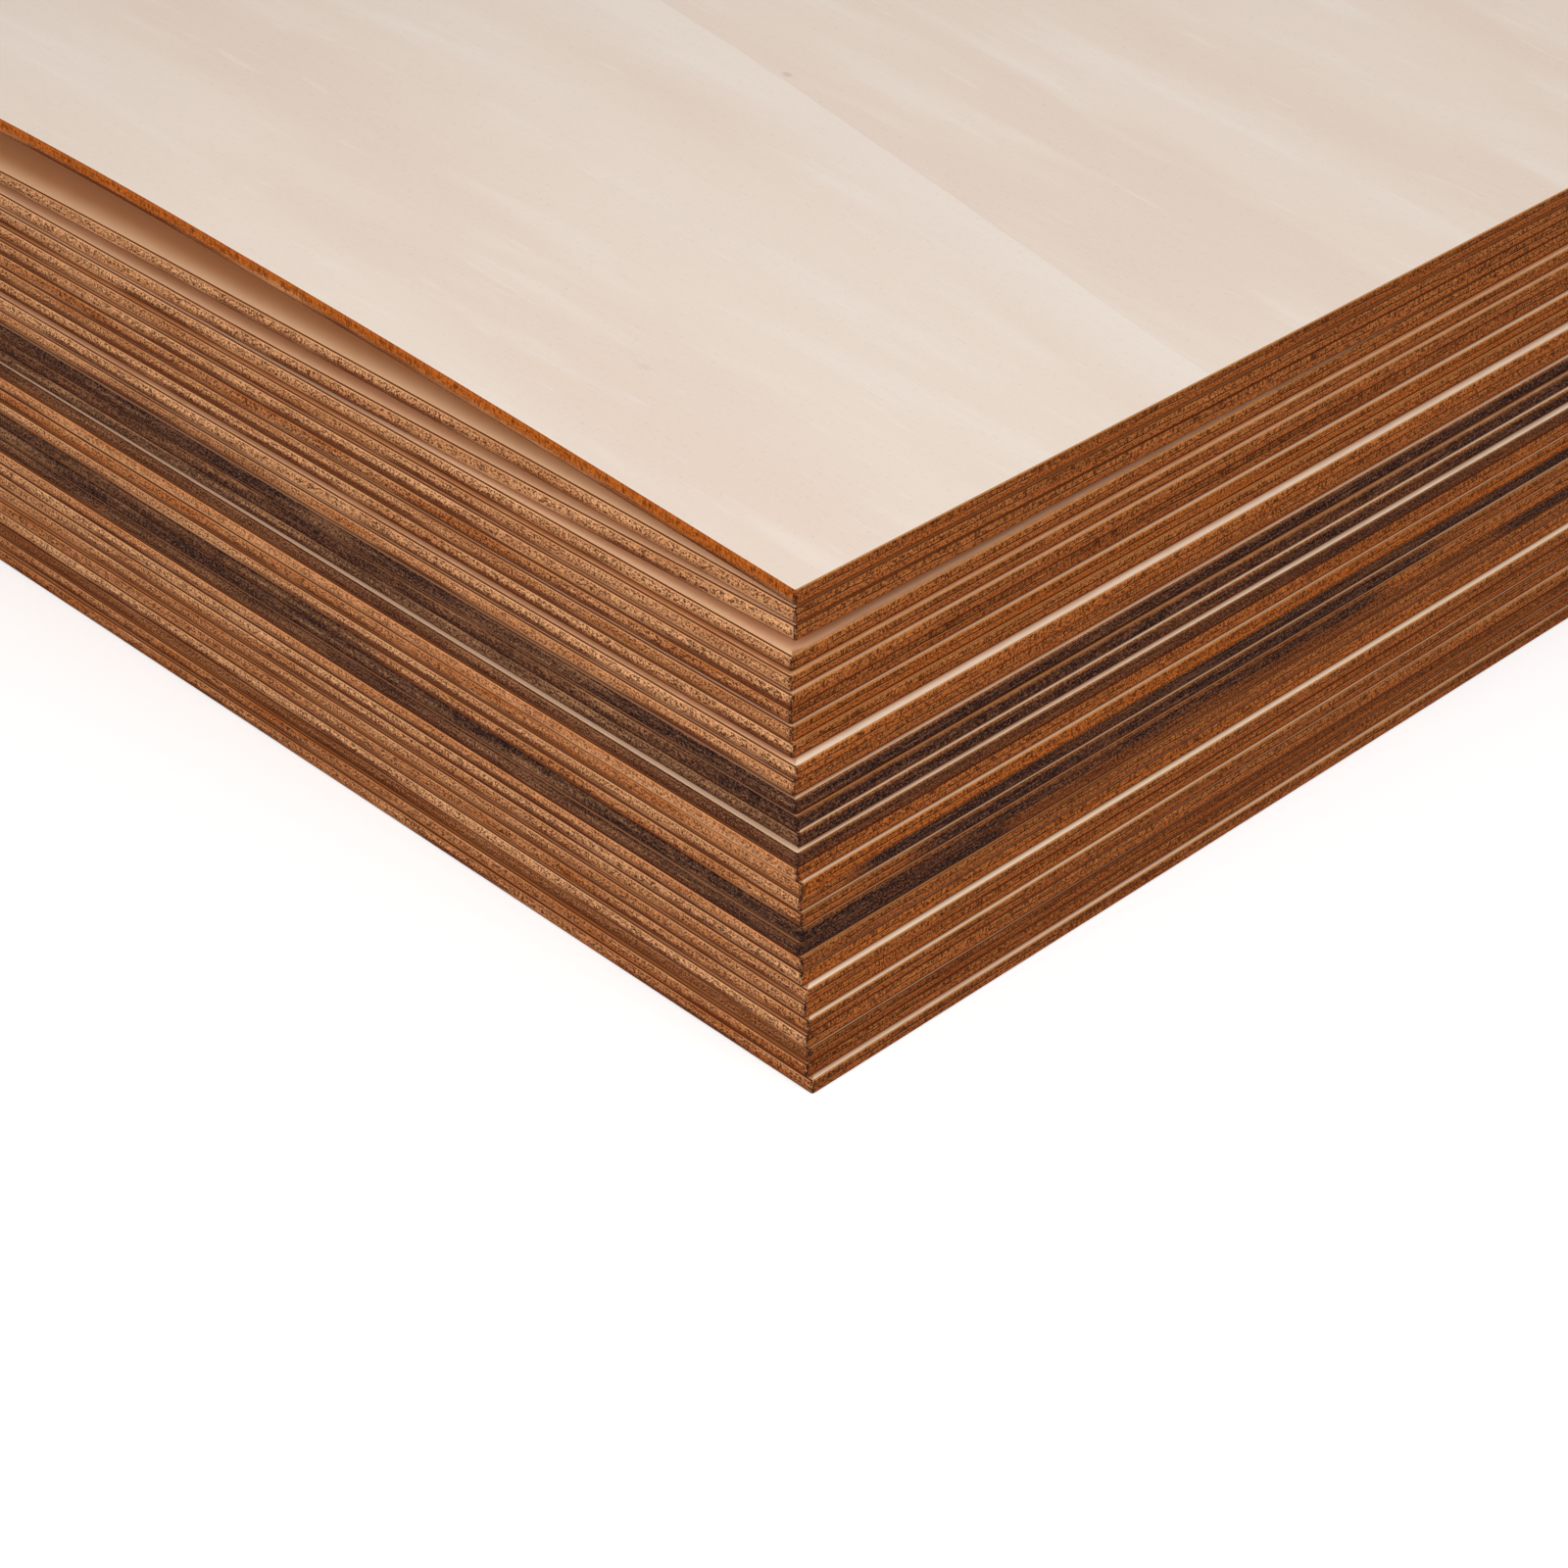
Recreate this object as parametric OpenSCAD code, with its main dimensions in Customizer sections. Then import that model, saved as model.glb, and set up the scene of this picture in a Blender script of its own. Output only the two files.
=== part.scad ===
// A loose stack of square plywood sheets with laser-cut edges. Every sheet lies on the one below
// it, a little out of line, so the stack leans. The top three sheets have dried and warped: their
// near corner lifts, and the two uppermost also bow along their left edge.
// +X points to the right of the near corner, -Y to its left and +Z up. The near corner is the one
// at +X, -Y. The origin is the middle of the bottom sheet's underside.

/* [Sheets] */
// Side of every square sheet
sheet_side = 305; // [200:1:620]
// Thickness of one sheet
sheet_t = 3; // [1.5:0.1:9]
// Number of sheets in the stack
sheet_count = 30; // [4:1:60]
// Radius that the cutting beam leaves on the corners
corner_r = 0.5; // [0.2:0.1:10]

/* [Slip] */
// Share of the sheets' sideways slip, where 0 is a squared-up stack
slip_share = 1; // [0:0.05:1.5]
// Share of the sheets' turn about their near corner, where 0 keeps their sides parallel
turn_share = 1; // [0:0.05:1.5]

/* [Warp] */
// Rise of the near corner on the lowest of the three warped sheets
corner_lift = 2.7; // [0.5:0.1:8]
// Air under the near corner of each warped sheet above that one
corner_gap = 0.4; // [0.1:0.05:1]
// Distance along the left edge at which the corner's rise has run out
left_reach = 150; // [80:1:250]
// Distance along the right edge at which it has run out, except on the top sheet
right_reach = 250; // [120:1:300]
// Rise of the second sheet's bow along the left edge
second_bow = 3.1; // [0.5:0.1:6]
// Distance from the near corner to that bow's crest
second_crest = 145; // [100:1:200]
// Rise of the top sheet's bow along the left edge
top_bow = 11.2; // [7:0.1:30]
// Distance from the near corner to that bow's crest
top_crest = 200; // [160:1:300]

/* [Hidden] */
// Slip to the right, slip to the back and turn of each sheet, from the bottom sheet upwards
slips = [
    [0, 0, 0], [-1.2, -0.3, -0.2], [-1.2, 0.3, -0.1], [-1.6, -0.1, -0.2], [-1.5, 0.5, 0],
    [-2.5, 0.4, -0.2], [-2.3, 0.9, -0.1], [-3.6, 0.8, -0.1], [-3.8, 0.8, -0.1], [-4.3, 0.6, -0.2],
    [-3.8, 1.2, -0.1], [-4.2, 1.2, -0.1], [-4.7, 1.3, -0.1], [-4.4, 1.5, -0.1], [-5.2, 1.1, -0.2],
    [-5.2, 1.2, -0.2], [-6, 2.5, 0], [-6.7, 2.4, 0], [-7.3, 2.8, 0.1], [-8.2, 3.4, 0.1],
    [-8, 3.7, 0.1], [-9.9, 4.9, 0.1], [-10.4, 5, 0.1], [-11, 5.4, 0.2], [-10.9, 5.5, 0.2],
    [-11.7, 6, 0.2], [-12.6, 7.2, 0.3], [-12.4, 7.8, 0.3], [-12.4, 7.8, 0.3], [-12.4, 7.7, 0.3]
];
// Sheets at the top of the stack that are warped
warped_count = 3;
// Bend of the corner's rise, where 1 is a straight ramp and 2 a parabola
lift_power = 1.4;
// Steps of a warped sheet's faces along each edge
warp_steps = 14;
// How far those faces run past the outline that trims them
trim = 1;
// Segments of a full circle at the corners
$fn = 32;

// Place of the near corner on a sheet that is centred on the origin
near_corner = [sheet_side, -sheet_side] / 2;
// Room above the stack that the tallest warp can reach
headroom = sheet_t + corner_lift + warped_count * corner_gap + top_bow;

// Rise of the lifted corner at distances left and back from it, for a rise of lift at the corner
function corner_rise(left, back, lift, reach) =
    lift * pow(max(0, 1 - left / left_reach - back / reach), lift_power);

// Bow along the left edge: a sine that is nothing at the right edge and highest at its crest
function bow(left, rise, crest) = rise * max(0, sin(90 * left / crest));

// Rise of a warped sheet above a flat one, where below_top is 0 for the top sheet
function warp(below_top, left, back) =
    let (lift = corner_lift + (warped_count - 1 - below_top) * corner_gap)
    let (reach = below_top == 0 ? sheet_side : right_reach)
    let (curve = below_top == 0 ? bow(left, top_bow, top_crest)
        : below_top == 1 ? bow(left, second_bow, second_crest) : 0)
    corner_rise(left, back, lift, reach) + curve;

// Outline of one sheet
module outline() {
    straight = sheet_side - 2 * corner_r;
    square([sheet_side, straight], center = true);
    square([straight, sheet_side], center = true);
    for (x = [-1, 1], y = [-1, 1]) translate([x, y] * straight / 2) circle(corner_r);
}

// One sheet that lies flat
module flat_sheet() {
    linear_extrude(sheet_t) outline();
}

// A slab whose two faces follow the warp, on a square grid that is a little larger than a sheet
module warped_slab(below_top) {
    n = warp_steps;
    span = sheet_side + 2 * trim;
    at = function(i) (i / n - 0.5) * span;
    rise = function(x, y) warp(below_top, near_corner.x - x, y - near_corner.y);
    face = function(z) [for (j = [0:n], i = [0:n]) [at(i), at(j), z + rise(at(i), at(j))]];
    id = function(i, j) j * (n + 1) + i;
    upper = (n + 1) * (n + 1);
    cells = [for (i = [0:n - 1], j = [0:n - 1]) [id(i, j), id(i + 1, j), id(i + 1, j + 1), id(i, j + 1)]];
    rim = concat([for (i = [0:n - 1]) id(i, 0)], [for (j = [0:n - 1]) id(n, j)],
        [for (i = [n:-1:1]) id(i, n)], [for (j = [n:-1:1]) id(0, j)]);
    ring = [for (k = [0:len(rim) - 1]) [rim[k], rim[(k + 1) % len(rim)]]];
    polyhedron(concat(face(0), face(sheet_t)), concat(
        [for (c = cells) [c[0], c[1], c[2]]],
        [for (c = cells) [c[0], c[2], c[3]]],
        [for (c = cells) [upper + c[2], upper + c[1], upper + c[0]]],
        [for (c = cells) [upper + c[3], upper + c[2], upper + c[0]]],
        [for (r = ring) [r[0], upper + r[0], upper + r[1]]],
        [for (r = ring) [r[0], upper + r[1], r[1]]]));
}

// One warped sheet, trimmed to the outline
module warped_sheet(below_top) {
    intersection() {
        warped_slab(below_top);
        linear_extrude(headroom) outline();
    }
}

// Sheet number k from the bottom, in its place
module sheet(k) {
    slip = slips[(k - 1) % len(slips)];
    below_top = sheet_count - k;
    color("burlywood")
        translate([slip.x * slip_share, slip.y * slip_share, (k - 1) * sheet_t])
        translate(near_corner)
        rotate(slip.z * turn_share)
        translate(-near_corner)
        if (below_top < warped_count) warped_sheet(below_top); else flat_sheet();
}

for (k = [1:sheet_count]) sheet(k);
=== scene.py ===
"""A loose stack of thin plywood sheets with browned, laser-cut edges.

Every sheet is a mesh of its own that stands for one packed sheet: a profile that runs over the
upper face, down the cut edge and under the lower face, carried round a rounded square.
"""

import math

import bpy
import numpy as np
from bpy.props import FloatProperty, FloatVectorProperty, IntProperty, PointerProperty
from mathutils import Matrix, Vector


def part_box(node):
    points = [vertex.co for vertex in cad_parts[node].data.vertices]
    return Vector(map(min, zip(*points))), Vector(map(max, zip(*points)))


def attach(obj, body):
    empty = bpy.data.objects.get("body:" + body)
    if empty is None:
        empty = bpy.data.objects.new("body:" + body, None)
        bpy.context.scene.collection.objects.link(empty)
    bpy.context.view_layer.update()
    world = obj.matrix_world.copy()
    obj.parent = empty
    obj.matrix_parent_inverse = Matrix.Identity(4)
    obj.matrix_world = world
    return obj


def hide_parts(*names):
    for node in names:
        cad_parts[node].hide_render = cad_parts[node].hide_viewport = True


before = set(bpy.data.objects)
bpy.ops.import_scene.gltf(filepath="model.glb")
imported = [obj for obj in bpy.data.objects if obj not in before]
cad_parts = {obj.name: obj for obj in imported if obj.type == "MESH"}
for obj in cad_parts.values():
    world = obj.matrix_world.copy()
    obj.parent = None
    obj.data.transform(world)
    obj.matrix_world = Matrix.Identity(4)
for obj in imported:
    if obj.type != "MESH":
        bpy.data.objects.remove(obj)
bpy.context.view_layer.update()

bl_info = {
    "name": "Plywood Sheet Stack",
    "version": (1, 0, 0),
    "blender": (4, 5, 0),
    "location": "3D View > Sidebar > Plywood Stack",
    "description": "Builds a loose stack of thin plywood sheets with laser-browned edges",
    "category": "Object",
}

MM = 0.001
WHITE = (1.0, 1.0, 1.0)
BLACK = (0.0, 0.0, 0.0)
SHEETS = sorted(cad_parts)
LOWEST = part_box(SHEETS[0])
SIDE = LOWEST[1].x - LOWEST[0].x
THICKNESS = LOWEST[1].z - LOWEST[0].z

# How many sheets at the top of the stack are warped
WARPED = 3
# Rings of points between the middle of the upper face and its edge, on a warped and a flat sheet
WARPED_RINGS = 14
FLAT_RINGS = 3
# Further rings close to the edge of the upper and of the lower face, at these distances from it
UPPER_RINGS = np.array([6.0, 2.5, 1.0, 0.3]) * MM
LOWER_RINGS = np.array([0.3, 2.5, 6.0]) * MM
# Heights of the two glue lines, as shares of the thickness, and half their width
GLUE_LINES = (0.335, 0.665)
GLUE_WIDTH = 0.025
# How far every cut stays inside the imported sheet, and how much more it does at its foot
CUT_CLEARANCE = 0.01 * MM
CUT_TAPER = 0.03 * MM
# How far under a sheet the air at its edge closes again
AIR_DEPTH = 25 * MM
# Air over a face: up to the first height the gap is tight, and from the second it is open
OPEN_AIR = (0.5 * MM, 1.2 * MM)
# How softly a charred stretch ends
CHAR_FADE = 7 * MM
# Least and most smoke beside each of a sheet's four sides, where SMOKED doesn't give it
USUAL_SMOKE = ((0.7, 0.1, 0.7, 0.1), (1.0, 0.8, 1.0, 0.8))

# Pin knots in the top veneer: place, radius and darkness
KNOTS = (
    (12.7 * MM, -22.4 * MM, 1.3 * MM, 0.2),
    (74.0 * MM, -117.0 * MM, 1.6 * MM, 0.07),
)
# The growth zone in the top veneer: the slope of its boundary, the boundary's distance from the
# first knot, the zone's width and how softly it ends
ZONE_SLOPE = 0.137
ZONE_OFFSET = 2.3 * MM
ZONE_WIDTH = 26 * MM
ZONE_FADE = 0.35 * MM

CAMERA_PLACE = (533.28 * MM, -530.02 * MM, 449.6 * MM)
SENSOR_WIDTH = 36.0
# Softboxes: name, the stage setting that holds the power, width, place and target
LAMPS = (
    ("Overhead softbox", "key", 0.8, (0.36, -0.36, 0.74), (0.1, -0.1, 0.09)),
    ("Left softbox", "left", 0.8, (0.4, -1.15, 0.45), (0.05, -0.1, 0.05)),
    ("Right softbox", "right", 1.0, (1.5, 0.2, 0.5), (0.1, 0.0, 0.04)),
)
# The floor: its corners, its distance under the stack and the strength of its own light
FLOOR_CORNERS = 96
FLOOR_DROP = 0.1 * MM
FLOOR_GLOW = 0.35

# The sides of a sheet, anticlockwise from the one on the left in the photo's view
LEFT, RIGHT, BACK, FAR = range(4)

# Length of a side in mm, for the table below
END = 305
# Charred stretches of the left and right edges, for each sheet from the bottom: where a stretch
# starts and ends, in mm from the near corner, and how black it is from 0 to 1. The two sides that
# face away are charred as the opposite ones are.
CHARRED = {
    LEFT: {
        3: [(0, END, 0.4)],
        10: [(0, END, 0.85)],
        11: [(0, END, 0.92)],
        12: [(112, END, 0.9)],
        16: [(0, END, 0.72)],
        17: [(0, END, 0.8)],
        18: [(0, END, 0.85)],
        19: [(0, END, 1.0)],
        20: [(130, 190, 0.25)],
    },
    RIGHT: {
        9: [(0, END, 0.12)],
        10: [(0, 52, 0.95), (52, 190, 0.3), (190, END, 0.9)],
        11: [(0, 153, 0.85)],
        12: [(28, 170, 0.95)],
        13: [(15, END, 0.95)],
        15: [(0, END, 0.15)],
        16: [(0, END, 0.65)],
        17: [(0, END, 0.85)],
        18: [(0, END, 0.9)],
        19: [(0, END, 0.95)],
    },
}

# How much smoke has browned the ledge on top of each sheet, from 0 to 1, where it isn't the usual.
# The same share sets how much painted contact shade lies beside the sheet above, and how little
# painted highlight a bare ledge gets
SMOKED = {
    LEFT: {29: 0.1, 28: 0.2, 27: 0.5, 23: 0.45, 20: 0.5, 16: 0.3},
    RIGHT: {
        29: 1.0, 28: 1.0, 27: 0.8, 26: 0.9, 25: 0.6, 23: 0.35, 22: 1.0, 21: 0.45, 19: 0.5,
        18: 1.0, 17: 0.0, 16: 0.35, 15: 0.9, 14: 0.2, 12: 0.2, 11: 0.7, 10: 0.9, 9: 0.8,
        8: 0.0, 7: 0.0, 6: 0.7, 5: 0.05, 4: 0.4, 3: 0.3, 2: 0.6, 1: 0.3,
    },
}

# Edges that came out more orange than the rest, from 0 to 1
ORANGE = {
    LEFT: {30: 1.0, 20: 0.15, 15: 0.35, 14: 0.2, 9: 0.25},
    RIGHT: {30: 0.25, 23: 0.5, 21: 0.35, 15: 0.5, 14: 0.8, 11: 0.3, 8: 0.5, 6: 0.3},
}


def linear(red, green, blue):
    """The linear colour of screen values from 0 to 255."""
    return tuple(
        c / 12.92 if c <= 0.04045 else ((c + 0.055) / 1.055) ** 2.4
        for c in (red / 255, green / 255, blue / 255)
    )


def length(name, description, default, soft_max):
    """A length property in metres."""
    return FloatProperty(
        name=name, description=description, default=default, min=0.0, soft_max=soft_max,
        unit="LENGTH", subtype="DISTANCE", precision=4,
    )


def colour(name, description, screen):
    """A colour property from screen values."""
    return FloatVectorProperty(
        name=name, description=description, default=linear(*screen), min=0.0, max=1.0,
        size=3, subtype="COLOR",
    )


class SheetSizes(bpy.types.PropertyGroup):
    corner_radius: length(
        "Corner radius", "Radius that the beam leaves on the corners", 0.5 * MM, 0.01,
    )
    arris: length("Arris", "Width of the small rounding along the cut edge", 0.2 * MM, 0.001)
    ply_groove: length("Glue line", "Depth of the glue lines between the plies", 0.07 * MM, 0.001)
    core_inset: length("Core inset", "How far the core ply is burnt back", 0.05 * MM, 0.001)
    cut_wander: length(
        "Cut wander", "How far the cut wanders from a straight line", 0.05 * MM, 0.001,
    )
    edge_gap: length("Edge gap", "Most air between two sheets at the edge", 0.25 * MM, 0.001)
    edge_step: length(
        "Edge step", "Distance between the mesh's points along an edge", 3.0 * MM, 0.02,
    )
    top_edge_step: length("Top edge step", "The same on the top sheet", 1.5 * MM, 0.02)
    corner_lift: length(
        "Corner lift", "Rise of the near corner on the lowest warped sheet", 2.7 * MM, 0.01,
    )
    corner_gap: length(
        "Corner gap", "Air under the near corner of each warped sheet above it", 0.4 * MM, 0.001,
    )
    left_reach: length(
        "Left reach", "Distance along the left edge at which the rise has run out", 150 * MM, 0.3,
    )
    right_reach: length(
        "Right reach", "The same along the right edge, except on the top sheet", 250 * MM, 0.3,
    )
    second_bow: length(
        "Second bow", "Rise of the second sheet's bow along the left edge", 3.1 * MM, 0.01,
    )
    second_crest: length(
        "Second crest", "Distance from the near corner to that bow's crest", 145 * MM, 0.3,
    )
    top_bow: length("Top bow", "Rise of the top sheet's bow along the left edge", 11.1 * MM, 0.03)
    top_crest: length(
        "Top crest", "Distance from the near corner to that bow's crest", 200 * MM, 0.3,
    )
    lift_power: FloatProperty(
        name="Lift power", description="Bend of the corner's rise, where 1 is a straight ramp",
        default=1.4, min=0.5, max=4.0,
    )
    seed: IntProperty(
        name="Seed", description="Seed of the cut's small irregularities", default=11, min=0,
    )


class SheetColours(bpy.types.PropertyGroup):
    veneer: colour("Veneer", "Sanded face veneer", (239, 223, 209))
    veneer_pale: colour("Pale veneer", "Lighter figure in the veneer", (244, 233, 222))
    # Painted highlight: the veneer of a bare ledge made lighter than the face veneer
    bare_ledge_highlight: colour("Bare ledge", "Veneer of a ledge that the smoke left clean", (254, 240, 216))
    veneer_warm: colour("Warm veneer", "Pinkish patches in the veneer", (235, 215, 199))
    side_light: colour("Side grain", "Browned edge along the grain", (236, 173, 121))
    side_dark: colour("Side grain, dark", "Its darker streaks", (168, 92, 38))
    side_deep: colour("Side grain, lower ply", "Dark zones low on those edges", (92, 36, 10))
    end_light: colour("End grain", "Browned edge across the grain", (190, 114, 58))
    end_dark: colour("End grain, dark", "Its darker streaks", (122, 66, 30))
    end_red: colour("End grain, lower ply", "Smoother red-brown lower half", (156, 80, 36))
    orange: colour("Orange scorch", "Edges that came out more orange than the rest", (192, 100, 32))
    fleck: colour("Flecks", "Burnt pores in the edge", (58, 20, 6))
    # Also used as a painted dark shadow line where the sheet above lies flush on end grain
    line: colour("Burnt line", "Thin lines burnt along the arris", (84, 40, 18))
    char: colour("Char", "Charred edge", (32, 20, 21))
    char_brown: colour("Brown char", "Lighter fibres in the char", (136, 90, 64))
    # Smoke stain that also stands for painted contact shade beside the sheet above
    stain: colour("Smoke stain", "Browned veneer beside the sheet above", (156, 88, 42))
    # Smoke stain together with painted shade and warm bounce light, for the veneer under a lifted
    # sheet
    gap_shade_and_stain: colour("Deep smoke stain", "Browned veneer under the sheet above", (194, 126, 74))
    toast: colour("Toasted veneer", "Warm tint of the veneer on a ledge", (238, 190, 146))
    rim: colour("Rim", "Golden scorch on the arris", (216, 152, 88))


class StageSettings(bpy.types.PropertyGroup):
    lens: FloatProperty(
        name="Lens", description="Focal length of the camera", default=93.4, min=10.0, max=300.0,
        unit="CAMERA",
    )
    azimuth: FloatProperty(
        name="Azimuth", description="Turn of the camera round the stack",
        default=math.radians(45.77), unit="ROTATION", subtype="ANGLE",
    )
    elevation: FloatProperty(
        name="Elevation", description="Angle at which the camera looks down",
        default=math.radians(35.61), unit="ROTATION", subtype="ANGLE",
    )
    sky: FloatProperty(
        name="Surround", description="Strength of the even light", default=0.45, min=0.0,
    )
    key: FloatProperty(
        name="Key lamp", description="Power of the softbox over the near corner", default=3.0,
        min=0.0, unit="POWER", subtype="POWER",
    )
    left: FloatProperty(
        name="Left lamp", description="Power of the softbox on the left", default=4.4, min=0.0,
        unit="POWER", subtype="POWER",
    )
    right: FloatProperty(
        name="Right lamp", description="Power of the softbox on the right", default=3.6, min=0.0,
        unit="POWER", subtype="POWER",
    )
    floor_radius: length("Floor radius", "Radius of the pale floor", 14.0, 30.0)
    floor: colour("Floor", "Colour of the pale floor", (240, 240, 240))


# Surfaces


def smooth(value, low, high):
    """0 below low, 1 above high and a smooth step between them."""
    share = np.clip((value - low) / (high - low), 0.0, 1.0)
    return share * share * (3.0 - 2.0 * share)


def waves(rng, ring, longest, count=9):
    """A closed wavy line round a sheet, from -1 to 1: cosines with whole numbers of waves and
    random phases, each about 1.55 times as short and 0.8 times as strong as the last."""
    orders = np.round(ring["perimeter"] / longest * 1.55 ** np.arange(count))
    phases = rng.uniform(0.0, 2.0 * math.pi, count)
    weights = 0.8 ** np.arange(count)
    turn = ring["around"] / ring["perimeter"] * 2.0 * math.pi
    angles = np.multiply.outer(turn, orders) + phases
    return np.cos(angles) @ weights / weights.sum()


def corner_rise(sizes, left, back, lift, reach):
    """Rise of the lifted corner: a ramp from lift at the corner to nothing where the shares of
    the two reaches add up to one, raised to a power."""
    ramp = np.maximum(0.0, 1.0 - left / sizes.left_reach - back / reach)
    return lift * ramp ** sizes.lift_power


def bow(left, rise, crest):
    """Bow along the left edge: a sine that is nothing at the right edge and highest at its
    crest."""
    return rise * np.maximum(0.0, np.sin(left / crest * math.pi / 2.0))


def warp(sizes, below_top, x, y):
    """Rise of a warped sheet at a point of its plan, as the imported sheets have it: the lifted
    corner, and on the upper two sheets the bow as well."""
    if below_top >= WARPED:
        return np.zeros_like(x)
    left, back = SIDE / 2.0 - x, y + SIDE / 2.0
    lift = sizes.corner_lift + (WARPED - 1 - below_top) * sizes.corner_gap
    reach = SIDE if below_top == 0 else sizes.right_reach
    rise = corner_rise(sizes, left, back, lift, reach)
    if below_top == 0:
        rise += bow(left, sizes.top_bow, sizes.top_crest)
    if below_top == 1:
        rise += bow(left, sizes.second_bow, sizes.second_crest)
    return rise


def outline(radius, step, arc_steps=5):
    """A rounded square, anticlockwise from the far end of the left side. Each side is a straight
    run and the quarter circle after it, turned by a right angle for the next side. Gives the
    points, their outward directions, the distance round, the side and the place along it."""
    straight = SIDE / 2.0 - radius
    runs = max(4, round(2.0 * straight / step))
    run = np.linspace(-straight, straight, runs + 1)
    angle = np.linspace(0.0, math.pi / 2.0, arc_steps + 1)[1:-1]
    side = np.concatenate([
        np.stack([run, np.full_like(run, -SIDE / 2.0)], 1),
        np.stack([straight + radius * np.sin(angle), -straight - radius * np.cos(angle)], 1),
    ])
    out = np.concatenate([
        np.tile([0.0, -1.0], (len(run), 1)),
        np.stack([np.sin(angle), -np.cos(angle)], 1),
    ])
    along = np.concatenate([run + SIDE / 2.0, SIDE / 2.0 + straight + radius * angle])
    pitch = 2.0 * straight + radius * math.pi / 2.0
    turns = [np.linalg.matrix_power(np.array([[0, 1], [-1, 0]]), k) for k in range(4)]
    return {
        "points": np.concatenate([side @ t for t in turns]),
        "out": np.concatenate([out @ t for t in turns]),
        "around": np.concatenate([along + k * pitch for k in range(4)]),
        "side": np.repeat(np.arange(4), len(side)),
        "along": np.tile(along, 4),
        "perimeter": 4.0 * pitch,
    }


def profile(sizes, face_rings):
    """Rows of the profile from the middle of the upper face over the edge to the middle of the
    lower one: for each row how much it is shrunk towards the middle, its inset and its height as
    a share of the thickness. Also gives the first and last row of the cut edge. The arrises are
    quarter circles, and three rows of the wall lie at each glue line."""
    arris = sizes.arris
    spread = np.linspace(0.0, 0.95, face_rings + 1)[1:]
    upper = np.concatenate([spread, 1.0 - UPPER_RINGS / (SIDE / 2.0)])
    lower = np.concatenate([1.0 - LOWER_RINGS / (SIDE / 2.0), [0.6, 0.2]])
    turn = np.radians([0.0, 30.0, 60.0, 90.0])
    rounding_in = arris * (1.0 - np.sin(turn))
    rounding_up = arris * (1.0 - np.cos(turn)) / THICKNESS
    glued = np.add.outer(GLUE_LINES, (-GLUE_WIDTH, 0.0, GLUE_WIDTH)).reshape(-1)
    wall = np.sort(np.append(glued, (0.09, 0.2, 0.5, 0.8, 0.91)))[::-1]
    shrink = np.concatenate([upper, np.ones(len(turn) * 2 + len(wall)), lower])
    inset = np.concatenate([
        np.full(len(upper), arris), rounding_in, np.zeros(len(wall)), rounding_in[::-1],
        np.full(len(lower), arris),
    ])
    height = np.concatenate([
        np.ones(len(upper)), 1.0 - rounding_up, wall, rounding_up[::-1], np.zeros(len(lower)),
    ])
    first = len(upper)
    return {
        "shrink": shrink, "inset": inset, "height": height,
        "edge": (first, first + len(turn) * 2 + len(wall) - 1),
    }


def sheet_place(node):
    """Middle, turn and underside of a packed sheet, from the four points that lie farthest out
    along its diagonals, the near corner first."""
    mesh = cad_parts[node].data
    points = np.empty(len(mesh.vertices) * 3)
    mesh.vertices.foreach_get("co", points)
    points = points.reshape(-1, 3)
    diagonals = np.array([[1, -1], [1, 1], [-1, 1], [-1, -1]])
    corners = points[np.argmax(points[:, :2] @ diagonals.T, axis=0), :2]
    middle = corners.mean(axis=0)
    near = corners[0] - middle
    return middle, math.atan2(near[1], near[0]) + math.pi / 4.0, points[:, 2].min()


def turned(points, angle):
    """Plan points turned by an angle about the origin."""
    cos, sin = math.cos(angle), math.sin(angle)
    return points @ np.array([[cos, sin], [-sin, cos]])


def char_along(number, ring):
    """How black each point of the outline is: the darkest of the stretches that it lies in, each
    with soft ends. A side that faces away is read from its own end nearer to the camera."""
    black = np.zeros(len(ring["side"]))
    for side in (LEFT, RIGHT, BACK, FAR):
        table = CHARRED[LEFT if side in (LEFT, BACK) else RIGHT]
        along = ring["along"] if side in (RIGHT, BACK) else SIDE - ring["along"]
        for start, end, strength in table.get(number, []):
            window = np.ones_like(along)
            if start > 0:
                window *= smooth(along, start * MM - CHAR_FADE, start * MM + CHAR_FADE)
            if end * MM < SIDE:
                window *= 1.0 - smooth(along, end * MM - CHAR_FADE, end * MM + CHAR_FADE)
            black = np.where(ring["side"] == side, np.maximum(black, window * strength), black)
    return black


def orange_along(number, ring):
    """How orange each side is; a side that faces away is like the opposite one."""
    shares = [ORANGE[side].get(number, 0.0) for side in (LEFT, RIGHT, LEFT, RIGHT)]
    return np.array(shares)[ring["side"]]


def smoked_along(number, ring, rng):
    """How much smoke has browned the upper face beside each side: a share of its own for every
    sheet, most on the left and the back, unless the table gives it."""
    shares = rng.uniform(*USUAL_SMOKE)
    for side in (LEFT, RIGHT):
        shares[side] = SMOKED[side].get(number, shares[side])
    return shares[ring["side"]]


def cut_relief(sizes, rng, ring, height):
    """How far the cut lies inside the outline: a clearance and a taper, a slow wander, the core
    burnt back between the glue lines, and a groove shaped like a bell on each glue line."""
    wander = waves(rng, ring, longest=230 * MM) * 0.5 + 0.5
    burnt_back = waves(rng, ring, longest=60 * MM) * 0.5 + 0.5
    groove = sum(np.exp(-((height - line) / (0.8 * GLUE_WIDTH)) ** 2) for line in GLUE_LINES)
    lower, upper = (smooth(height, line - GLUE_WIDTH, line + GLUE_WIDTH) for line in GLUE_LINES)
    return (
        CUT_CLEARANCE + CUT_TAPER * (1.0 - height) + sizes.cut_wander * wander
        + sizes.core_inset * burnt_back * lower * (1.0 - upper) + sizes.ply_groove * groove
    )


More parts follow.
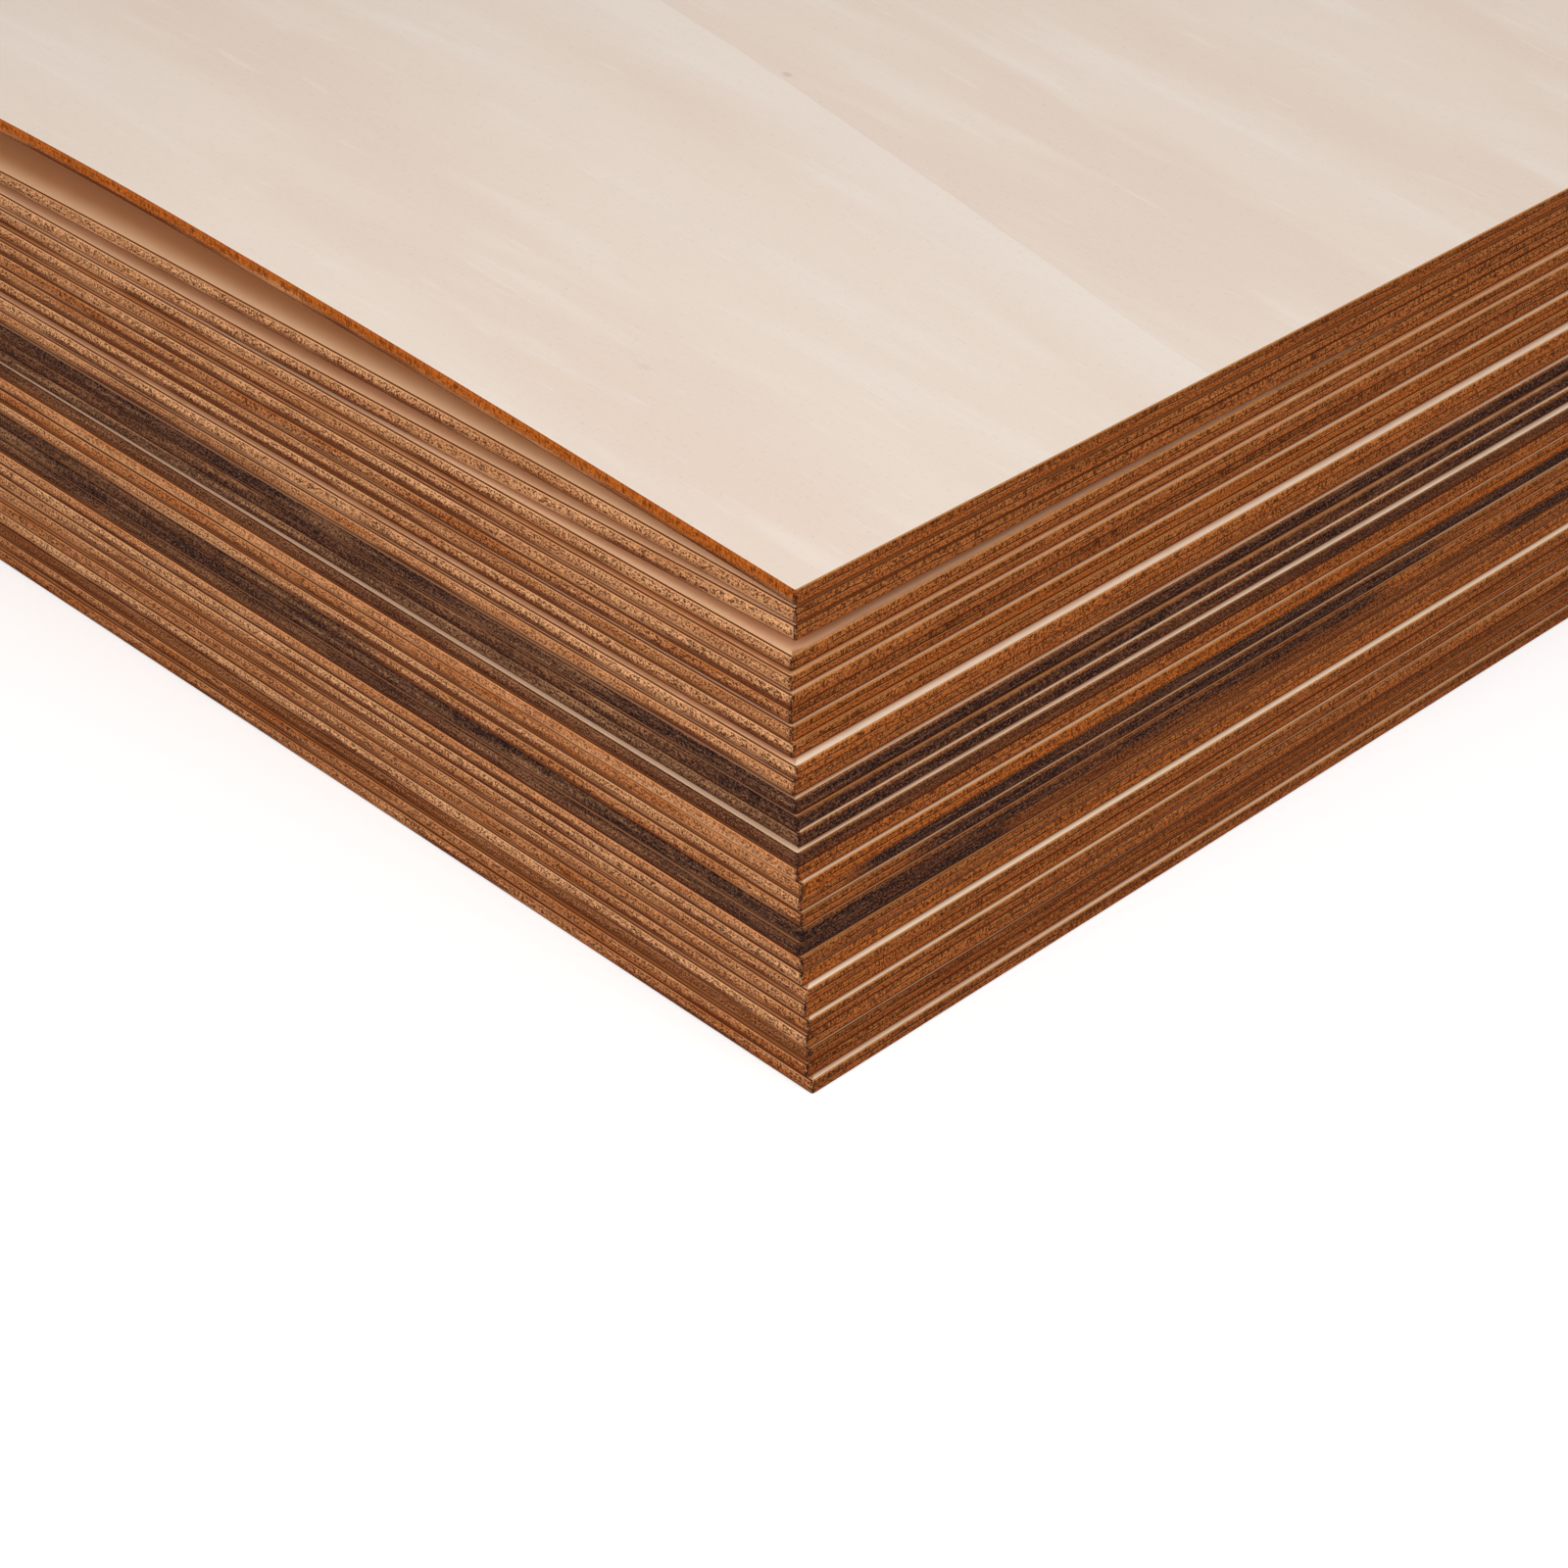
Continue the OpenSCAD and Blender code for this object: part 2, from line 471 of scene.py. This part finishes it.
def edge_air(sizes, rng, ring, depth):
    """Air under a flat sheet: a height that varies round its edge, with a smooth step down to
    nothing further in."""
    gap = sizes.edge_gap * rng.uniform(0.2, 1.0)
    gap = gap * (0.55 + 0.45 * waves(rng, ring, longest=300 * MM))
    return gap * (1.0 - smooth(depth, 0.0, AIR_DEPTH))


def sheet_mesh(name, number, sizes):
    """One sheet: the profile carried round the outline. A row is the outline moved in by the
    row's inset and the cut's relief, then shrunk towards the middle; its height is the row's
    share of the thickness, plus the air at the edge and the warp. Poles close both faces. The
    points carry the fields that the finishes read."""
    rng = np.random.default_rng(sizes.seed + number)
    below_top = len(SHEETS) - number
    warped = below_top < WARPED
    ring = outline(sizes.corner_radius, sizes.edge_step if below_top else sizes.top_edge_step)
    rows = profile(sizes, WARPED_RINGS if warped else FLAT_RINGS)
    shrink, inset, height = (rows[key][:, None] for key in ("shrink", "inset", "height"))
    depth = (1.0 - shrink) * SIDE / 2.0

    relief = cut_relief(sizes, rng, ring, height)
    plan = ring["points"] - ring["out"] * (inset + relief)[:, :, None]
    plan = plan * shrink[:, :, None]
    x, y = plan[:, :, 0], plan[:, :, 1]
    raised = edge_air(sizes, rng, ring, depth) * (1.0 - height)
    if number == 1 or warped:
        raised = np.zeros_like(raised)
    z = height * THICKNESS + raised + warp(sizes, below_top, x, y)

    middle, angle, base = sheet_place(name)
    placed = turned(plan.reshape(-1, 2), angle) + middle
    points = np.column_stack([placed, (z + base).reshape(-1)])
    pole_rise = warp(sizes, below_top, np.zeros(1), np.zeros(1))[0] + base
    poles = np.array([[*middle, pole_rise + THICKNESS], [*middle, pole_rise]])

    # How far each point lies outside the sheet above it, where a metre stands for no such sheet
    cover = 1.0
    if below_top:
        above, above_angle, _ = sheet_place(SHEETS[number])
        local = turned(placed - above, -above_angle)
        cover = (np.abs(local).max(axis=1) - SIDE / 2.0).reshape(x.shape)

    # How much air lies over each point, which is some only under a warped sheet
    air = 0.0
    if 0 < below_top <= WARPED:
        air = warp(sizes, below_top - 1, x, y) - warp(sizes, below_top, x, y)

    fields = {
        "inset": depth + inset,
        "cover": cover,
        "air": air,
        "char": char_along(number, ring),
        "smoked": smoked_along(number, ring, rng),
        "orange": orange_along(number, ring),
        "end_grain": np.abs(x) > np.abs(y),
        "corner": SIDE / 2.0 - np.minimum(np.abs(x), np.abs(y)),
    }
    fields = {key: np.broadcast_to(value, x.shape).reshape(-1) for key, value in fields.items()}
    mesh = grid_mesh(name + "_sheet", points, poles, ring, rows, fields)
    for field, value in (("seed", float(number)), ("tone", rng.uniform(-1.0, 1.0))):
        layer = mesh.attributes.new(field, "FLOAT", "POINT")
        layer.data.foreach_set("value", np.full(len(mesh.vertices), value, np.float32))
    return mesh


def grid_mesh(name, points, poles, ring, rows, fields):
    """A closed mesh from rings of points and a pole at each end, with the place along the edge
    and up it as its UV map. The faces of the cut edge take the second material. A field has a
    number for every point of the rings, and a pole takes the mean of the ring beside it."""
    size, count = len(ring["around"]), len(rows["height"])
    row, column = np.meshgrid(np.arange(count - 1), np.arange(size), indexing="ij")
    row, column = row.reshape(-1, 1), column.reshape(-1, 1)
    quad_rows = row + np.array([0, 1, 1, 0])
    quad_columns = column + np.array([0, 0, 1, 1])
    quads = quad_rows * size + quad_columns % size
    step = np.arange(size)
    after = (step + 1) % size
    last = (count - 1) * size
    upper = np.column_stack([np.full(size, len(points)), step, after])
    lower = np.column_stack([np.full(size, len(points) + 1), last + after, last + step])
    loops = np.concatenate([quads.reshape(-1), upper.reshape(-1), lower.reshape(-1)])
    totals = np.concatenate([np.full(len(quads), 4), np.full(2 * size, 3)])

    mesh = bpy.data.meshes.new(name)
    mesh.vertices.add(len(points) + 2)
    mesh.vertices.foreach_set("co", np.concatenate([points, poles]).astype(np.float32).reshape(-1))
    mesh.loops.add(len(loops))
    mesh.loops.foreach_set("vertex_index", loops.astype(np.int32))
    mesh.polygons.add(len(totals))
    mesh.polygons.foreach_set("loop_start", (np.cumsum(totals) - totals).astype(np.int32))
    mesh.polygons.foreach_set("loop_total", totals.astype(np.int32))
    first, final = rows["edge"]
    on_edge = ((row[:, 0] >= first) & (row[:, 0] < final)).astype(np.int32)
    material = np.concatenate([on_edge, np.zeros(2 * size, np.int32)])
    mesh.polygons.foreach_set("material_index", material)
    mesh.polygons.foreach_set("use_smooth", np.ones(len(totals), bool))

    along = np.append(ring["around"], ring["perimeter"])[quad_columns]
    up = rows["height"][quad_rows] * THICKNESS
    uv = np.concatenate([np.stack([along, up], 2).reshape(-1, 2), np.zeros((6 * size, 2))])
    layer = mesh.uv_layers.new(name="edge")
    layer.data.foreach_set("uv", uv.astype(np.float32).reshape(-1))
    for field, values in fields.items():
        layer = mesh.attributes.new(field, "FLOAT", "POINT")
        ends = [values[:size].mean(), values[-size:].mean()]
        layer.data.foreach_set("value", np.append(values, ends).astype(np.float32))
    mesh.update(calc_edges=True)
    if mesh.validate():
        raise ValueError(f"{name} had faulty faces")
    return mesh


# Finishes


class Socket:
    """An output of a shader node. Arithmetic on it adds Math nodes."""

    def __init__(self, finish, output):
        self.finish = finish
        self.output = output

    def math(self, operation, *values):
        """A Math node on these values."""
        return self.finish.math(operation, *values)

    def __add__(self, other):
        return self.math("ADD", self, other)

    def __sub__(self, other):
        return self.math("SUBTRACT", self, other)

    def __mul__(self, other):
        return self.math("MULTIPLY", self, other)

    def __truediv__(self, other):
        return self.math("DIVIDE", self, other)

    def __pow__(self, other):
        return self.math("POWER", self, other)

    def __rsub__(self, other):
        return self.math("SUBTRACT", other, self)

    def __rtruediv__(self, other):
        return self.math("DIVIDE", other, self)

    def __neg__(self):
        return self.math("MULTIPLY", self, -1.0)

    __radd__ = __add__
    __rmul__ = __mul__

    def size(self):
        """The value without its sign."""
        return self.math("ABSOLUTE", self)

    def step(self, low, high):
        """0 below low, 1 above high and a smooth step between them."""
        return self.finish.node(
            "ShaderNodeMapRange", {"interpolation_type": "SMOOTHSTEP"},
            {"Value": self, "From Min": low, "From Max": high},
        )

    def fade(self, low, high):
        """1 below low, 0 above high and a smooth step between them."""
        return 1.0 - self.step(low, high)

    def held(self):
        """The value held between 0 and 1."""
        return self.finish.node(
            "ShaderNodeMath", {"operation": "ADD", "use_clamp": True}, {0: self, 1: 0.0}
        )


class Finish:
    """The nodes of a material or of the surround, under construction."""

    def __init__(self, owner):
        owner.use_nodes = True
        self.owner = owner
        self.tree = owner.node_tree
        self.tree.nodes.clear()

    def node(self, kind, settings=None, inputs=None, output=0):
        """Adds a node: its settings first, then the values or links of its sockets."""
        node = self.tree.nodes.new(kind)
        for key, value in (settings or {}).items():
            setattr(node, key, value)
        for key, value in (inputs or {}).items():
            if isinstance(value, Socket):
                self.tree.links.new(value.output, node.inputs[key])
            else:
                node.inputs[key].default_value = value
        return Socket(self, node.outputs[output]) if node.outputs else None

    def math(self, operation, *values):
        """A Math node on these values."""
        return self.node("ShaderNodeMath", {"operation": operation}, dict(enumerate(values)))

    def field(self, name):
        """A number that the mesh carries."""
        return self.node("ShaderNodeAttribute", {"attribute_name": name}, output="Fac")

    def shown(self):
        """1 where the camera, a reflection or a clear piece shows the surface, and 0 for the light
        that it throws on others."""
        camera = self.node("ShaderNodeLightPath", output="Is Camera Ray")
        rays = camera.output.node.outputs
        glossy = Socket(self, rays["Is Glossy Ray"])
        clear = Socket(self, rays["Is Transmission Ray"])
        return (camera + glossy + clear).held()

    def split(self, vector):
        """The first and second number of a vector."""
        first = self.node("ShaderNodeSeparateXYZ", inputs={0: vector})
        return first, Socket(self, first.output.node.outputs[1])

    def noise(self, x, y, z, cell, detail, roughness=0.5):
        """Noise whose blobs are about as wide and as high as cell says, in metres."""
        at = self.node("ShaderNodeCombineXYZ", inputs={0: x / cell[0], 1: y / cell[1], 2: z})
        return self.node(
            "ShaderNodeTexNoise", {"noise_dimensions": "3D"},
            {"Vector": at, "Scale": 1.0, "Detail": detail, "Roughness": roughness},
        )

    def mix(self, first, second, share):
        """Two colours mixed by a share. The node's colour inputs are 6 and 7, its output is 2."""
        return self.node(
            "ShaderNodeMix", {"data_type": "RGBA", "clamp_factor": True},
            {0: share, 6: rgba(first), 7: rgba(second)}, output=2,
        )

    def layered(self, tint, *layers):
        """A colour with others laid over it in turn, each by its own share."""
        for over, share in layers:
            tint = self.mix(tint, over, share)
        return tint

    def scaled(self, tint, value):
        """A colour times a number."""
        return self.node("ShaderNodeVectorMath", {"operation": "SCALE"}, {0: tint, "Scale": value})

    def wood(self, tint, roughness, height, depth, sheen):
        """Ends the material in a matt shader with a bump of the given depth in metres."""
        normal = self.node(
            "ShaderNodeBump", inputs={"Strength": 1.0, "Distance": depth, "Height": height}
        )
        shader = self.node(
            "ShaderNodeBsdfPrincipled",
            inputs={
                "Base Color": tint, "Roughness": roughness, "Normal": normal,
                "Specular IOR Level": sheen,
            },
        )
        self.node("ShaderNodeOutputMaterial", inputs={"Surface": shader})
        return self.owner


def rgba(value):
    """A colour with its alpha, or a socket as it is."""
    return value if isinstance(value, Socket) else (*value, 1.0)


def veneer_figure(finish, colours, x, y, seed, marked):
    """Colour of the clean veneer, with its grain along X: broad warm patches, paler wisps and
    flakes, fine grain and small pores. A marked veneer has pin knots and the boundary of a
    growth zone as well, which runs a little out of line with the edge. Gives the grain and the
    pores too."""
    flat = y + (finish.noise(x, y, seed, (0.2, 0.08), 1.0) - 0.5) * 0.012
    patches = finish.noise(x, flat, seed + 1.3, (0.14, 0.03), 2.0)
    wisps = finish.noise(x, flat, seed + 2.9, (0.07, 0.01), 3.0)
    flakes = finish.noise(x, flat, seed + 3.7, (0.018, 0.0022), 2.0)
    grain = finish.noise(x, flat, seed + 4.1, (0.014, 0.0005), 3.0)
    pores = finish.noise(x, flat, seed + 5.7, (0.0011, 0.00035), 2.0)
    tint = finish.layered(
        colours.veneer,
        (colours.veneer_warm, patches.step(0.34, 0.7) * 0.85),
        (colours.veneer_pale, wisps.step(0.5, 0.75) * 0.5),
        (colours.veneer_pale, flakes.step(0.6, 0.78) * 0.35),
    )
    shade = 1.0 + (grain - 0.5) * 0.05 - pores.step(0.6, 0.74) * 0.09
    if marked:
        knot_x, knot_y = KNOTS[0][:2]
        bound = y - knot_y + ZONE_SLOPE * (x - knot_x) + ZONE_OFFSET + 0.004 * (wisps - 0.5)
        zone = bound.step(-ZONE_WIDTH, 0.0) * bound.fade(0.0, ZONE_FADE)
        tint = finish.mix(tint, colours.veneer_pale, zone * 0.55)
        shade = shade - (bound - ZONE_FADE).size().fade(0.0, 0.45 * MM) * 0.025
        for knot_x, knot_y, radius, darkness in KNOTS:
            far = finish.math("SQRT", (x - knot_x) ** 2.0 + ((y - knot_y) * 1.4) ** 2.0)
            shade = shade - far.fade(radius * 0.2, radius * 1.3) * darkness
    return finish.scaled(tint, shade), grain, pores


def smoke_stains(finish, colours, tint, x, y, seed):
    """Colour of the veneer with what smoke and heat did to it near the sheet's edge, and with
    painted light and shade there. A ledge that the smoke missed is pale, painted lighter than the
    veneer as a highlight; others are toasted, and beside the edge of the sheet above they carry
    smoke stain with painted contact shade. The arris and a narrow ledge are golden, and painted as
    a dark shadow line on end grain where the sheet above lies flush. Under a lifted sheet the
    veneer is toasted, and further in it darkens with smoke stain and painted shade."""
    names = ("inset", "cover", "air", "smoked", "end_grain", "char")
    inset, cover, air, smoked, end, char = map(finish.field, names)
    ragged = finish.noise(x, y, seed + 7.7, (0.006, 0.006), 3.0)
    cloud = finish.noise(x, y, seed + 9.1, (0.02, 0.01), 2.0)

    # The ledge that the sheet above leaves bare
    lifted = air.step(0.15 * MM, 0.9 * MM)
    border = inset.fade(4.0 * MM, 30.0 * MM) * cover.fade(8.0 * MM, 12.0 * MM)
    toasted = 0.12 + 0.6 * smoked * smoked + 0.4 * (1.0 - end)

    # The veneer under the sheet above, with smoke stain and painted shade that grow further in, and
    # beside that sheet's edge smoke stain with painted contact shade
    tight = end * air.fade(*OPEN_AIR)
    # Darker further under the sheet above: smoke stain and painted shade, which comes sooner where
    # the gap is tight
    inside = (-cover).step(-0.5 * MM, (3.5 + 5.0 * cloud) * MM * (1.0 - 0.9 * tight))
    # Beside the edge of the sheet above: smoke stain with painted contact shade, browner beside a
    # charred wall
    beside = cover.size().fade(0.0, (1.8 - 0.4 * end) * MM * (0.4 + ragged))
    soot_and_contact_shade = finish.mix(colours.stain, colours.side_deep, char * smoked)

    # The rim of the face, and ledges so narrow that they are all rim; on end grain where the sheet
    # above lies flush, that rim is painted as a dark shadow line
    flush = cover.fade(-0.05 * MM, 0.1 * MM) * (1.0 - lifted)
    narrow = end * cover.fade(0.15 * MM, 0.5 * MM) * (1.0 - lifted)
    rim = inset.fade(0.1 * MM, (0.2 + 0.3 * ragged) * MM)
    scorch = finish.mix(colours.rim, colours.line, end * flush)

    return finish.layered(
        tint,
        # Painted highlight on a ledge that the smoke left clean
        (colours.bare_ledge_highlight, border * (1.0 - smoked) * (1.0 - lifted)),
        (colours.toast, border * (toasted + (0.9 - toasted) * lifted)),
        # Smoke stain and painted shade under the sheet above
        (colours.gap_shade_and_stain, inside * (0.75 + 0.2 * tight)),
        # Smoke stain and painted contact shade beside the sheet above
        (soot_and_contact_shade, beside * (0.2 + 0.8 * smoked) * (1.0 - lifted * (1.0 - end))),
        (scorch, (rim * 0.5 + narrow * 0.45).held()),
    )


def veneer_finish(name, colours, marked):
    """Sanded veneer, clean in the middle of the sheet and smoked near its edge."""
    finish = Finish(bpy.data.materials.new(name))
    x, y = finish.split(finish.node("ShaderNodeTexCoord", output="Object"))
    seed = finish.field("seed") * 3.7
    clean, grain, pores = veneer_figure(finish, colours, x, y, seed, marked)
    tint = smoke_stains(finish, colours, clean, x, y, seed)
    height = grain * 0.5 - pores.step(0.62, 0.76) * 0.5
    roughness = 0.6 + (grain - 0.5) * 0.1
    return finish.wood(tint, roughness, height, depth=0.02 * MM, sheen=0.12)


def edge_finish(colours):
    """The cut edge. Along the grain it is tan with a darker lower ply, short dark strokes and a
    line burnt along the arris. Across the grain it is redder with fine lengthwise streaks, a broken
    crack and a golden rim, which is painted as a dark shadow line where the sheet above lies flush.
    Char covers both where the mesh says so, orange scorch tints them, and every edge is darker low
    down, with burn and painted contact shade where it meets the sheet below, and burnt at the
    sheet's corners."""
    finish = Finish(bpy.data.materials.new("Laser-cut edge"))
    along, up = finish.split(finish.node("ShaderNodeUVMap", {"uv_map": "edge"}))
    high = up / THICKNESS
    seed = finish.field("seed") * 5.3
    names = ("end_grain", "char", "tone", "corner", "orange", "cover", "air")
    end, char, tone, corner, orange, cover, air = map(finish.field, names)
    slow = finish.noise(along, up, seed, (0.03, 0.0022), 3.0)
    patch = finish.noise(along, up, seed + 0.9, (0.05, 0.02), 3.0)
    streak = finish.noise(along, up, seed + 1.7, (0.012, 0.00022), 3.0, 0.65)
    worm = finish.noise(along, up, seed + 3.1, (0.00048, 0.0004), 2.0, 0.8)
    hair = finish.noise(along, up, seed + 5.3, (0.0004, 0.0014), 2.0, 0.7)
    crack = finish.noise(along, up, seed + 6.3, (0.02, 0.01), 3.0)
    frayed = high + (hair - 0.5) * 0.5 + (slow - 0.5) * 0.4
    shade = (slow - 0.5) * 1.6 + (streak - 0.5) * 1.6 + tone * 0.4 + 0.45

    # Along the grain
    low = frayed.fade(0.2, 0.44) * (0.35 + 0.65 * patch.step(0.4, 0.58))
    middle = high.step(0.1, 0.26) * high.fade(0.8, 0.87)
    scorched = orange.step(0.5, 1.0)
    arris = (high - 0.965).size().fade(0.035, 0.06)
    side = finish.layered(
        finish.mix(colours.side_light, colours.side_dark, shade.held()),
        (colours.side_deep, low * 0.9),
        (colours.orange, orange * frayed.step(0.28, 0.42)),
        (colours.fleck, worm.step(0.46, 0.58) * middle * (0.9 - orange * 0.5)),
        (colours.fleck, hair.step(0.52, 0.64) * middle * 0.45),
        (colours.fleck, hair.step(0.44, 0.6) * high.step(0.3, 0.5) * scorched * 0.45),
        (colours.line, arris * (1.0 - 0.75 * scorched) * 0.95),
    )

    # Across the grain
    across = high - 0.48 - (crack - 0.5) * 0.5
    split = across.size().fade(0.02, 0.06) * crack.step(0.4, 0.48)
    lip = (across + 0.07).size().fade(0.01, 0.05) * crack.step(0.42, 0.5)
    flush = cover.fade(0.15 * MM, 0.6 * MM) * air.fade(*OPEN_AIR)
    cross = finish.layered(
        finish.mix(colours.end_light, colours.end_dark, (shade + (streak - 0.5) * 1.4).held()),
        (colours.end_red, high.fade(0.38, 0.55) * 0.6),
        (colours.orange, orange * 0.6),
        (colours.fleck, worm.step(0.48, 0.58) * 0.8),
        (colours.fleck, hair.step(0.5, 0.6) * high.step(0.36, 0.5) * 0.75),
        (colours.rim, lip * 0.35),
        (colours.fleck, split * 0.9),
        (colours.rim, high.step(0.88, 0.98) * (1.0 - flush) * (0.55 - 0.4 * char)),
        # Painted shadow line at the top of the end grain where the sheet above lies flush
        (colours.line, high.step(0.92, 0.98) * flush * 0.85),
    )

    # Char over both, then burn and painted contact shade low on every edge, and the corners
    black = char * (0.78 + 0.17 * end + (slow - 0.4) * 1.6 + (streak - 0.5) * 0.8)
    black = (black * (1.0 - end * frayed.step(0.76, 0.9) * 0.65)).held()
    fibre = ((worm.fade(0.38, 0.5) + streak.step(0.52, 0.68)) * 0.6).held()
    # Burn and painted contact shade low on the edge, where it meets the sheet below
    foot = high.fade(0.03, 0.12 + (0.07 - 0.05 * end) * patch)
    tips = corner.fade(0.2 * MM, 1.0 * MM) * hair.step(0.35, 0.6)
    tint = finish.layered(
        finish.mix(side, cross, end),
        (finish.mix(colours.char, colours.char_brown, fibre), black),
        (colours.fleck, foot * (0.92 - 0.17 * end)),
        (colours.char, tips * 0.9),
    )

    height = streak * 0.6 - worm.step(0.5, 0.66) * middle * 0.6 - split * end
    roughness = 0.62 + black * 0.2
    return finish.wood(tint, roughness, height, depth=0.06 * MM, sheen=0.02)


# Operators


class STACK_OT_sheets(bpy.types.Operator):
    """Builds every sheet of the stack and gives it its two finishes"""

    bl_idname = "stack.sheets"
    bl_label = "Build the Sheets"

    def execute(self, context):
        sizes, colours = context.scene.sheet_sizes, context.scene.sheet_colours
        plain = veneer_finish("Sanded veneer", colours, False)
        marked = veneer_finish("Top veneer", colours, True)
        edge = edge_finish(colours)
        for number, node in enumerate(SHEETS, start=1):
            mesh = sheet_mesh(node, number, sizes)
            mesh.materials.append(marked if number == len(SHEETS) else plain)
            mesh.materials.append(edge)
            piece = bpy.data.objects.new("plywood_" + node, mesh)
            context.scene.collection.objects.link(piece)
            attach(piece, "root")
            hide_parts(node)
        return {"FINISHED"}


def lamp(name, power, width, place, target):
    """A square softbox that faces a target."""
    data = bpy.data.lights.new(name, "AREA")
    data.shape, data.size, data.energy = "SQUARE", width, power
    light = bpy.data.objects.new(name, data)
    aim = (Vector(target) - Vector(place)).to_track_quat("-Z", "Y")
    light.matrix_world = Matrix.Translation(place) @ aim.to_matrix().to_4x4()
    bpy.context.scene.collection.objects.link(light)


class STACK_OT_stage(bpy.types.Operator):
    """Sets the pale floor, the soft lamps, the white surround and the camera"""

    bl_idname = "stack.stage"
    bl_label = "Set the Stage"

    def execute(self, context):
        scene, stage = context.scene, context.scene.stage_settings
        scene.view_settings.view_transform = "Standard"
        self.add_camera(scene, stage)
        self.add_surround(scene, stage)
        self.add_floor(scene, stage)
        for name, setting, width, place, target in LAMPS:
            lamp(name, getattr(stage, setting), width, place, target)
        return {"FINISHED"}

    def add_camera(self, scene, stage):
        """The camera at the photo's viewing angle, level from side to side."""
        data = bpy.data.cameras.new("Camera")
        data.lens, data.sensor_width = stage.lens, SENSOR_WIDTH
        data.clip_start, data.clip_end = 0.01, 100.0
        camera = bpy.data.objects.new("Camera", data)
        turn, level = stage.azimuth, math.cos(stage.elevation)
        ahead = Vector((
            -math.sin(turn) * level, math.cos(turn) * level, -math.sin(stage.elevation),
        ))
        place = Matrix.Translation(CAMERA_PLACE)
        camera.matrix_world = place @ ahead.to_track_quat("-Z", "Y").to_matrix().to_4x4()
        scene.collection.objects.link(camera)
        scene.camera = camera

    def add_surround(self, scene, stage):
        """An even surround that shows as white."""
        finish = Finish(bpy.data.worlds.new("Surround"))
        level = stage.sky + finish.shown() * (1.0 - stage.sky)
        back = finish.node("ShaderNodeBackground", inputs={"Color": rgba(WHITE), "Strength": level})
        finish.node("ShaderNodeOutputWorld", inputs={"Surface": back})
        scene.world = finish.owner

    def add_floor(self, scene, stage):
        """A pale disc under the stack. Where it shows, a little light of its own makes it white
        and keeps the stack's shadow."""
        turn = np.linspace(0.0, 2.0 * math.pi, FLOOR_CORNERS, endpoint=False)
        x, y = stage.floor_radius * np.cos(turn), stage.floor_radius * np.sin(turn)
        points = np.column_stack([x, y, np.full_like(x, LOWEST[0].z - FLOOR_DROP)])
        mesh = bpy.data.meshes.new("Floor")
        mesh.from_pydata(points.tolist(), [], [list(range(len(points)))])
        finish = Finish(bpy.data.materials.new("Pale floor"))
        shader = finish.node(
            "ShaderNodeBsdfPrincipled",
            inputs={
                "Base Color": rgba(stage.floor), "Roughness": 0.9, "Specular IOR Level": 0.1,
                "Emission Color": finish.mix(BLACK, WHITE, finish.shown()),
                "Emission Strength": FLOOR_GLOW,
            },
        )
        finish.node("ShaderNodeOutputMaterial", inputs={"Surface": shader})
        mesh.materials.append(finish.owner)
        floor = bpy.data.objects.new("Floor", mesh)
        scene.collection.objects.link(floor)


class STACK_PT_panel(bpy.types.Panel):
    bl_label = "Plywood Stack"
    bl_space_type = "VIEW_3D"
    bl_region_type = "UI"
    bl_category = "Plywood Stack"

    def draw(self, context):
        layout = self.layout
        for label, group, operator in (
            ("Sheets", context.scene.sheet_sizes, STACK_OT_sheets),
            ("Colours", context.scene.sheet_colours, None),
            ("Stage", context.scene.stage_settings, STACK_OT_stage),
        ):
            box = layout.box()
            box.label(text=label)
            for name in group.__annotations__:
                box.prop(group, name)
            if operator:
                box.operator(operator.bl_idname)


CLASSES = (
    SheetSizes, SheetColours, StageSettings, STACK_OT_stage, STACK_OT_sheets, STACK_PT_panel,
)
GROUPS = {
    "sheet_sizes": SheetSizes, "sheet_colours": SheetColours, "stage_settings": StageSettings,
}


def register():
    for cls in CLASSES:
        bpy.utils.register_class(cls)
    for name, group in GROUPS.items():
        setattr(bpy.types.Scene, name, PointerProperty(type=group))


def unregister():
    for name in GROUPS:
        delattr(bpy.types.Scene, name)
    for cls in reversed(CLASSES):
        bpy.utils.unregister_class(cls)


def main():
    """Registers the classes, sets the stage and builds the sheets."""
    register()
    bpy.ops.stack.stage()
    bpy.ops.stack.sheets()


if __name__ == "__main__":
    main()
